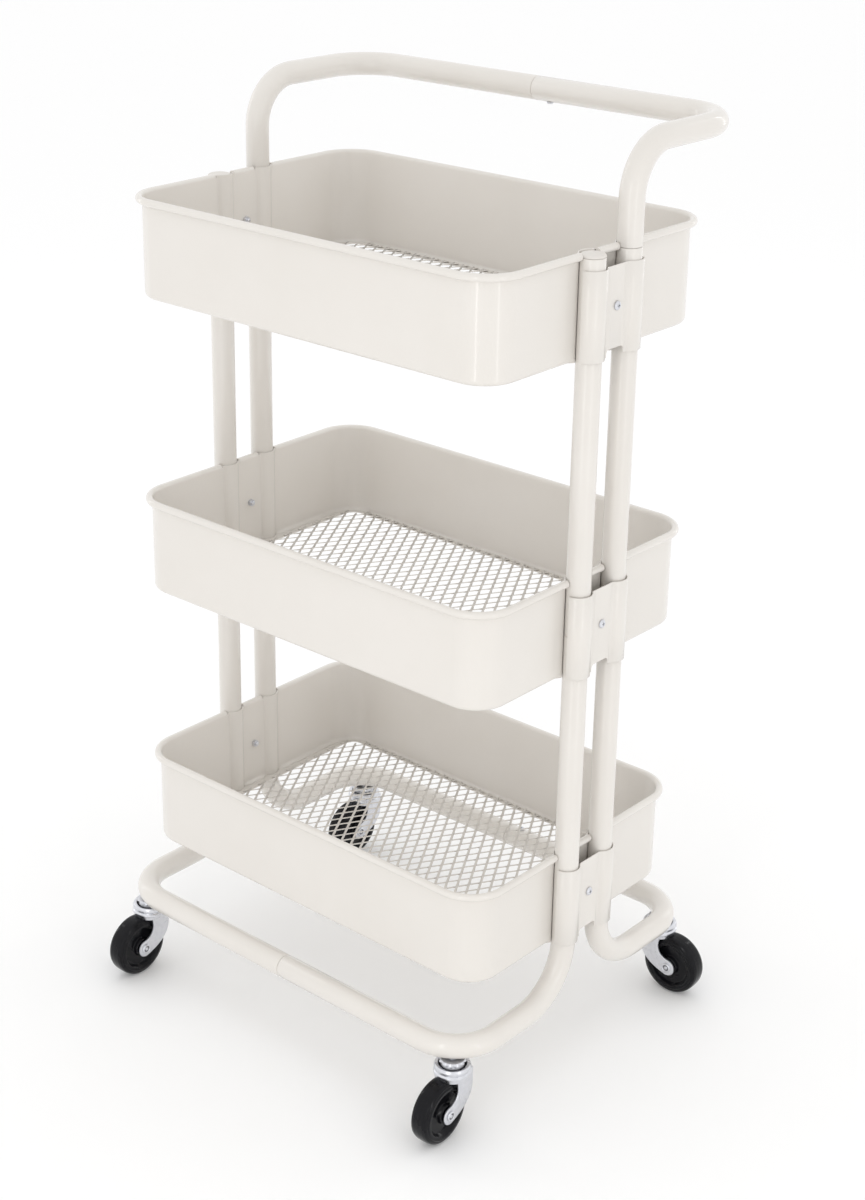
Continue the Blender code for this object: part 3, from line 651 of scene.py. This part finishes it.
def level_ring(steps, height, reach):
    """Closed ring about Z at one height; reach gives the radius at each angle."""
    return [Vector((*(toward(angle) * reach(angle)), height)) for angle in sweep_angle(0, 360, steps)[:-1]]


def turned_rings(profile, steps):
    """Rings about Z for a turned shape; the profile is (radius, height) pairs."""
    return [level_ring(steps, height, lambda angle: radius) for radius, height in profile]


def softened(profile, radius, steps=3):
    """A profile with its corners rounded, held to half of the shorter neighbour."""
    radii = []
    for before, corner, after in zip(profile, profile[1:], profile[2:]):
        shorter = min((Vector(corner) - Vector(before)).length, (Vector(after) - Vector(corner)).length)
        bend = (Vector(corner) - Vector(before)).angle(Vector(after) - Vector(corner), 0.0)
        limit = 0.45 * shorter / max(1e-6, math.tan(bend / 2))
        radii.append(min(radius, limit))
    flat = [(*corner, 0.0) for corner in profile]
    return [(point.x, point.y) for point in rounded_path(flat, radii, steps)]


def pan_screw_mesh(head, rise, shaft, length):
    """Pan head with a four-armed recess, shaft down -Z, seat at Z = 0."""
    outside = softened([(shaft, -length), (shaft, 0), (head, 0), (head, rise * 0.45),
                        (head * 0.78, rise * 0.92), (head * 0.5, rise)], rise * 0.3, 4)
    rings = turned_rings([(0.0, -length)] + outside, 32)
    for share, sink in ((0.50, 0.0), (0.42, 0.55), (0.0, 0.62)):
        rings.append(level_ring(32, rise * (1 - sink), lambda angle: (
            head * share * (0.28 + 0.72 * abs(math.cos(2 * angle)) ** 6))))
    return loft("pan_screw", rings, sharp=35)


def nut_mesh(across, height):
    """Hex nut with chamfered corners and the screw's end, seat at Z = 0."""
    chamfer = 0.0005

    def flat(angle):
        return math.cos(math.radians(30)) / math.cos((angle % math.radians(60)) - math.radians(30))

    rings = []
    for share, level in ((0.86, 0.0), (1.0, -chamfer), (1.0, chamfer - height), (0.86, -height)):
        rings.append(level_ring(24, level, lambda angle: across / 2 * min(flat(angle), share)))
    tip = height + SCREW_END
    rings += turned_rings([(0.0021, -height), (0.0021, chamfer - tip), (0.0014, -tip)], 24)
    return loft("hex_nut", rings, sharp=30)


def fastener_recipe():
    """The same fastener on every point, turned by the point's own attribute."""
    recipe = Recipe("fasteners", {"Points": "Geometry", "Fastener": "Object", "Size": "Float"})
    turn = recipe.node("GeometryNodeInputNamedAttribute", {"data_type": "FLOAT_VECTOR"}, {"Name": "turn"})
    shape = recipe.node("GeometryNodeObjectInfo", {}, {"Object": recipe["Fastener"]}, "Geometry")
    spread = recipe.node("GeometryNodeInstanceOnPoints", {}, {
        "Points": recipe["Points"], "Instance": shape, "Rotation": turn, "Scale": recipe["Size"]})
    recipe.finish_with(spread, bright_zinc.material)
    return recipe


def fasten(name, shape, places, *nodes):
    """Copies one fastener to its places, each a point and a turn, and fits them as one piece."""
    pattern = bpy.data.objects.new(f"{name}_pattern", shape)
    bpy.context.scene.collection.objects.link(pattern)
    points = bpy.data.meshes.new(name)
    points.from_pydata([spot for spot, turn in places], [], [])
    turns = points.attributes.new("turn", "FLOAT_VECTOR", "POINT")
    for item, (spot, turn) in zip(turns.data, places):
        item.vector = turn
    baked = fasteners.bake(name, points, Fastener=pattern, Size=1.0)
    bpy.data.objects.remove(pattern)
    fit(baked, bright_zinc, "cart_frame", *nodes)


fasteners = fastener_recipe()
screw_places, nut_places, screw_nodes, nut_nodes = [], [], [], []
for tier, rim in RIMS.items():
    for side_name, side in SIDES.items():
        lean = Vector((0, side * math.pi / 2, 0))
        level = Vector((0, 0, rim - SCREW_DROP))
        head_x = side * (WEB_X + CLAMP_SHEET + 0.0001)
        nut_x = side * (WALL_X - SHEET - 0.0001)
        screw_places.append((MIDDLE + Vector((head_x, 0, 0)) + level, lean))
        nut_places.append((MIDDLE + Vector((nut_x, 0, 0)) + level, lean))
        screw_nodes.append(f"clamp_screw_{tier}_{side_name}")
        nut_nodes.append(f"clamp_nut_{tier}_{side_name}")
clamp_screw = pan_screw_mesh(head=0.0040, rise=0.0022, shaft=0.0018, length=0.0125)
fasten("clamp_screws", clamp_screw, screw_places, *screw_nodes)
fasten("clamp_nuts", nut_mesh(across=0.0076, height=0.0032), nut_places, *nut_nodes)
seam_places = []
for node, down in (("handle_screw", True), ("front_bar_screw", True), ("rear_bar_screw", False)):
    low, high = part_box(node)
    sunk = SEAM_HEAD + 0.0002
    spot = (low + high) / 2
    spot.z = low.z + sunk if down else high.z - sunk
    seam_places.append((spot, Vector((math.pi if down else 0, 0, 0))))
seam_screw = pan_screw_mesh(head=0.0032, rise=SEAM_HEAD, shaft=0.0016, length=0.006)
fasten("seam_screws", seam_screw, seam_places, "handle_screw", "front_bar_screw", "rear_bar_screw")


# ---- Front upright caps ---------------------------------------------------------------------------
# Moulded plugs, coloured to match, pressed into the open tops of the two front uprights. A slightly
# domed head with a soft edge covers the cut tube.
def cap_plastic():
    """Matt moulded plastic: fine spark texture, a little warmer than the powder coat."""
    plastic = Finish("cream_plastic", "cream_plastic", 0.5, 0.0)
    spark = plastic.noise(1500.0)
    cloud = plastic.noise(40.0)
    colour = plastic.blend(cloud, (0.71, 0.675, 0.63), (0.755, 0.725, 0.685))
    plastic.surface(colour, 0.42 + spark * 0.14, spark, depth=0.00004)
    return plastic


matt_plastic = cap_plastic()
for side_name, side in SIDES.items():
    profile = [(0.0, -0.010), (0.0088, -0.010), (0.0088, 0.0002), (TUBE, 0.0002), (TUBE, 0.0018),
               (0.0095, 0.0029), (0.0055, 0.0034), (0.0, 0.0035)]
    cap = loft(f"{side_name}_cap", turned_rings(softened(profile, 0.0008), 40), sharp=50)
    cap.transform(Matrix.Translation(MIDDLE + Vector((side * UPRIGHT_X, -UPRIGHT_Y, UPRIGHT_TOP))))
    fit(cap, matt_plastic, "cart_frame", f"cap_{side_name}")

# ---- Caster stems ---------------------------------------------------------------------------------
# The stem is pushed up through the corner bend. Under the tube it carries a crimped washer and the
# upper ball cup, and its riveted end closes the lower race inside the fork.
CASTERS = ("front_right", "front_left", "rear_right", "rear_left")
hinges = {joint["name"]: joint for joint in frame["joints"]}
TUBE_UNDER = BASE_HEIGHT - TUBE
FORK_TOP = 0.0675


def crimped_washer(top):
    """Ring of pressed teeth round the stem under the tube."""
    rings = []
    for radius, drop, tooth in ((0.0060, 0.0, 0.0), (0.0112, 0.0003, 0.0), (0.0120, 0.0024, 0.0007),
                                (0.0108, 0.0034, 0.0007), (0.0060, 0.0030, 0.0)):
        rings.append(level_ring(72, top - drop, lambda angle: radius + tooth * math.cos(12 * angle)))
    return loft("crimped_washer", rings, sharp=40)


def joined(name, meshes, sharp=38):
    """Several closed shapes as one mesh."""
    skin = bmesh.new()
    for mesh in meshes:
        skin.from_mesh(mesh)
        bpy.data.meshes.remove(mesh)
    mesh = bpy.data.meshes.new(name)
    skin.to_mesh(mesh)
    skin.free()
    mesh.shade_smooth()
    mesh.set_sharp_from_angle(angle=math.radians(sharp))
    return mesh


def paint_grease_and_shade(mesh, darkness_at):
    """Marks how dark each vertex is painted, from its place on the unturned piece: grease in the races and
    painted shade in recesses and between parts.
    """
    marks = mesh.attributes.new("grime", "FLOAT", "POINT")
    for vertex, mark in zip(mesh.vertices, marks.data):
        mark.value = darkness_at(math.hypot(vertex.co.x, vertex.co.y), vertex.co.z)


for label in CASTERS:
    stem_at = Vector(hinges[f"swivel_{label}"]["pos_m"])
    shank = [(0.0, TUBE_UNDER + 0.014), (0.0050, TUBE_UNDER + 0.014), (0.0050, TUBE_UNDER - 0.003),
             (0.0084, TUBE_UNDER - 0.0036), (0.0096, TUBE_UNDER - 0.0052), (0.0112, FORK_TOP + 0.0019),
             (0.0112, FORK_TOP + 0.0003), (0.0050, FORK_TOP + 0.0003), (0.0050, FORK_TOP - 0.0020),
             (0.0078, FORK_TOP - 0.0020), (0.0078, FORK_TOP - 0.0041), (0.0, FORK_TOP - 0.0045)]
    stem = joined(f"{label}_stem", [
        loft("shank", turned_rings(softened(shank, 0.0004), 40)),
        crimped_washer(TUBE_UNDER - 0.0001),
    ])
    # Below the fork top the stem is painted near black, partly grease in the lower race and partly painted
    # shade inside the housing; its narrow parts are painted half dark as shade between parts.
    paint_grease_and_shade(stem, lambda radius, height: 0.9 if height < FORK_TOP + 0.0025 else 0.45 * (radius < 0.0088))
    stem.transform(Matrix.Translation(Vector((stem_at.x, stem_at.y, 0))))
    fit(stem, bright_zinc, "cart_frame", f"caster_stem_{label}")

# ---- Caster forks ---------------------------------------------------------------------------------
# Pressed from 2 mm steel: a stepped round housing for the two ball races, with two arms that sweep
# back to the axle and end in a round eye. Bright zinc.
AXLE_HEIGHT = 0.030
TRAIL = 0.019
ARM_INSIDE = 0.0117
ARM_SHEET = 0.002
ARM_TOP = FORK_TOP - 0.002
ARM_SHOULDER = 0.050
ARM_LEAD = 0.0125
ARM_BACK = 0.008
ARM_EYE = 0.0085


def curve_between(start, control, end, steps):
    """Points on a quadratic curve after its start."""
    points = []
    for step in range(1, steps + 1):
        share = step / steps
        points.append(start * (1 - share) ** 2 + control * 2 * share * (1 - share) + end * share ** 2)
    return points


def arm_outline():
    """Side view of an arm: distance behind the swivel axis, height."""
    axle = Vector((TRAIL, AXLE_HEIGHT))
    eye = [axle + toward(angle) * ARM_EYE for angle in sweep_angle(-107, 82, 20)]
    shoulder = Vector((-ARM_LEAD, ARM_SHOULDER))
    lead = curve_between(shoulder, Vector((-ARM_LEAD, AXLE_HEIGHT)), eye[0], 12)
    back = curve_between(eye[-1], Vector((ARM_BACK, 0.040)), Vector((ARM_BACK, 0.052)), 10)
    flare = [Vector((ARM_BACK + 0.0008, 0.0575)), Vector((ARM_BACK + 0.0022, ARM_TOP))]
    return [Vector((-ARM_LEAD, ARM_TOP)), shoulder] + lead + eye[1:] + back + flare


def plate_rings(outline, near, far, edge):
    """Rings for a plate between two depths with rounded edges; the outline is a closed plan."""
    rings = []
    for depth, inset in ((near, edge), (near + edge * 0.3, edge * 0.3), (near + edge, 0.0),
                         (far - edge, 0.0), (far - edge * 0.3, edge * 0.3), (far, edge)):
        ring = []
        for place, point in enumerate(outline):
            before = (point - outline[place - 1]).normalized()
            after = (outline[(place + 1) % len(outline)] - point).normalized()
            way = (before + after).normalized()
            moved = point + Vector((-way.y, way.x)) * inset
            ring.append(Vector((moved.x, depth, moved.y)))
        rings.append(ring)
    return rings


def fork_mesh(name):
    """Housing and two arms; the wheel trails along +X."""
    housing = [(0.0054, -0.0016), (0.0122, -0.0016), (0.0130, 0.0030), (0.0156, 0.0032), (0.0168, 0.0010),
               (0.0168, -0.0010), (0.0160, -0.0018), (0.0160, -0.0026), (0.0172, -0.0036),
               (0.0172, -0.0058), (0.0163, -0.0066), (0.0162, -0.0098), (0.0150, -0.0098),
               (0.0148, -0.0031), (0.0054, -0.0031)]
    profile = [(radius, FORK_TOP + rise) for radius, rise in housing + housing[:1]]
    shapes = [loft("housing", turned_rings(softened(profile, 0.0007)[:-1], 56), around=True)]
    for side in (1, -1):
        near, far = sorted((side * ARM_INSIDE, side * (ARM_INSIDE + ARM_SHEET)))
        shapes.append(loft("arm", plate_rings(arm_outline(), near, far, edge=0.0005)))
    fork = joined(name, shapes)
    # The race recess inside the housing is painted near black: partly grease, partly painted shade in the
    # recess.
    paint_grease_and_shade(fork, lambda radius, height: 0.9 * (radius < 0.0129 and height > FORK_TOP - 0.0040))
    return fork


def turned_to(label):
    """Place and turn of a caster whose own frame trails along +X."""
    stem_at = Vector(hinges[f"swivel_{label}"]["pos_m"])
    axle_at = Vector(hinges[f"spin_{label}"]["pos_m"])
    heading = math.atan2(axle_at.y - stem_at.y, axle_at.x - stem_at.x)
    return Matrix.Translation(Vector((stem_at.x, stem_at.y, 0))) @ Matrix.Rotation(heading, 4, "Z")


for label in CASTERS:
    fork = fork_mesh(f"{label}_fork")
    fork.transform(turned_to(label))
    fit(fork, bright_zinc, f"swivel_{label}", f"caster_fork_{label}")

# ---- Axle rivets ----------------------------------------------------------------------------------
# A steel rivet through both arms carries the wheel. Each head is spun over in a ring with a dimple
# in the middle.
ACROSS = Matrix.Translation(Vector((TRAIL, 0, AXLE_HEIGHT))) @ Matrix.Rotation(math.pi / 2, 4, "X")
SEAT = ARM_INSIDE + ARM_SHEET
head_half = [(0.0027, SEAT), (0.0049, SEAT), (0.0049, SEAT + 0.0009), (0.0040, SEAT + 0.0017),
             (0.0034, SEAT + 0.0017), (0.0028, SEAT + 0.0006), (0.0019, SEAT + 0.0006),
             (0.0015, SEAT + 0.0014), (0.0, SEAT + 0.0014)]
rivet_profile = [(radius, -level) for radius, level in reversed(head_half)] + head_half
for label in CASTERS:
    rivet = loft(f"{label}_axle", turned_rings(softened(rivet_profile, 0.0004), 36))
    # Painted shade: the ring groove of the rivet head and its seat against the arm are darkened as if
    # shaded.
    paint_grease_and_shade(rivet, lambda radius, height: (
        0.75 * (0.0018 < radius < 0.0032) + 0.6 * (abs(height) < SEAT + 0.0003)))
    rivet.transform(turned_to(label) @ ACROSS)
    fit(rivet, bright_zinc, f"swivel_{label}", f"caster_axle_{label}")


# ---- Wheels ---------------------------------------------------------------------------------------
# Solid wheels 60 x 20 mm, moulded in glossy black nylon with a crowned tread, a raised ring at the
# shoulder, a dished web and a hub. A fine mould line runs round the tread.
def black_nylon():
    """Glossy black moulding with slight flow marks and faint handling scuffs."""
    nylon = Finish("black_nylon", "black_nylon", 0.2, 0.0)
    flow = nylon.noise(120.0)
    scuff = nylon.noise(700.0, detail=3.0, rough=0.7)
    colour = nylon.blend(flow, (0.004, 0.004, 0.005), (0.009, 0.009, 0.011))
    nylon.surface(colour, 0.05 + flow * 0.06 + scuff * 0.09, flow + scuff * 0.3, depth=0.00004)
    nylon.shader.inputs["Specular IOR Level"].default_value = 0.17
    return nylon


glossy_black = black_nylon()
half_wheel = [(0.0031, 0.0099), (0.0078, 0.0099), (0.0088, 0.0090), (0.0098, 0.0058), (0.0192, 0.0054),
              (0.0210, 0.0084), (0.0222, 0.0098), (0.0250, 0.0098), (0.0257, 0.0091), (0.0272, 0.0088),
              (0.0291, 0.0074), (0.0298, 0.0048), (0.02995, 0.0012)]
wheel_profile = half_wheel + [(0.0300, 0.0003), (0.0300, -0.0003)] + [
    (radius, -level) for radius, level in reversed(half_wheel)]
for label in CASTERS:
    wheel = loft(f"{label}_wheel", turned_rings(softened(wheel_profile, 0.0011), 72), around=True)
    wheel.transform(turned_to(label) @ ACROSS)
    fit(wheel, glossy_black, f"wheel_{label}", f"wheel_{label}")


# ---- Floor, light and camera ----------------------------------------------------------------------
# A plain white floor under broad studio light, and a camera that looks down on the front right
# corner of the cart.
def area_light(name, place, target, width, height, power):
    """White lamp that lights and mirrors in the coat without being seen itself."""
    light = bpy.data.lights.new(name, "AREA")
    light.shape = "RECTANGLE"
    light.size = width
    light.size_y = height
    light.energy = power
    lamp = bpy.data.objects.new(name, light)
    lamp.location = MIDDLE + Vector(place)
    lamp.visible_camera = False
    aim = MIDDLE + Vector(target) - lamp.location
    lamp.rotation_euler = aim.to_track_quat("-Z", "Y").to_euler()
    bpy.context.scene.collection.objects.link(lamp)


STUDIO = 12
floor_corners = [(-STUDIO, -STUDIO, 0), (STUDIO, -STUDIO, 0), (STUDIO, STUDIO, 0), (-STUDIO, STUDIO, 0)]
floor_mesh = bpy.data.meshes.new("studio_floor")
floor_mesh.from_pydata(floor_corners, [], [(0, 1, 2, 3)])
studio_floor = bpy.data.objects.new("studio_floor", floor_mesh)
bpy.context.scene.collection.objects.link(studio_floor)
paint = bpy.data.materials.new("studio_white")
paint.use_nodes = True
paint_shader = paint.node_tree.nodes["Principled BSDF"]
paint_shader.inputs["Base Color"].default_value = (0.97, 0.97, 0.97, 1)
paint_shader.inputs["Roughness"].default_value = 0.9
floor_mesh.materials.append(paint)
studio_floor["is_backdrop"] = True

world = bpy.data.worlds.new("studio")
world.use_nodes = True
sky = world.node_tree.nodes["Background"]
sky.inputs["Color"].default_value = (1, 1, 1, 1)
sky.inputs["Strength"].default_value = 1.02
bpy.context.scene.world = world
area_light("key_box", (0.9, -2.4, 1.3), (0, 0, 0.45), 0.6, 0.6, 0.8)
area_light("front_strip", (0.55, -1.35, 0.55), (0.15, -0.1, 0.55), 0.055, 1.1, 1.5)
area_light("right_strip", (1.5, -0.35, 0.55), (0.2, 0, 0.55), 0.05, 1.1, 1.1)
area_light("left_strip", (-2.4, -0.5, 1.1), (0, 0, 0.45), 0.12, 1.8, 3)
area_light("back_strip", (0.6, 2.5, 1.3), (0, 0, 0.45), 0.12, 1.8, 3)

EYE_AZIMUTH = math.radians(41.1969)
EYE_ELEVATION = math.radians(21.2761)
EYE_ROLL = math.radians(0.6977)
EYE_DISTANCE = 1.9656
AIM_HEIGHT = 0.4882
lens = bpy.data.cameras.new("camera")
lens.lens = 63.8052
lens.shift_x = 0.0202333
lens.shift_y = -0.0672083
camera = bpy.data.objects.new("camera", lens)
looking = (Matrix.Rotation(EYE_AZIMUTH, 4, "Z") @ Matrix.Rotation(math.pi / 2 - EYE_ELEVATION, 4, "X")
           @ Matrix.Rotation(EYE_ROLL, 4, "Z"))
stand = MIDDLE + Vector((0, 0, AIM_HEIGHT)) + looking @ Vector((0, 0, EYE_DISTANCE))
camera.matrix_world = Matrix.Translation(stand) @ looking
bpy.context.scene.collection.objects.link(camera)
bpy.context.scene.camera = camera
bpy.context.scene.view_settings.view_transform = "Standard"

low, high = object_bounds()
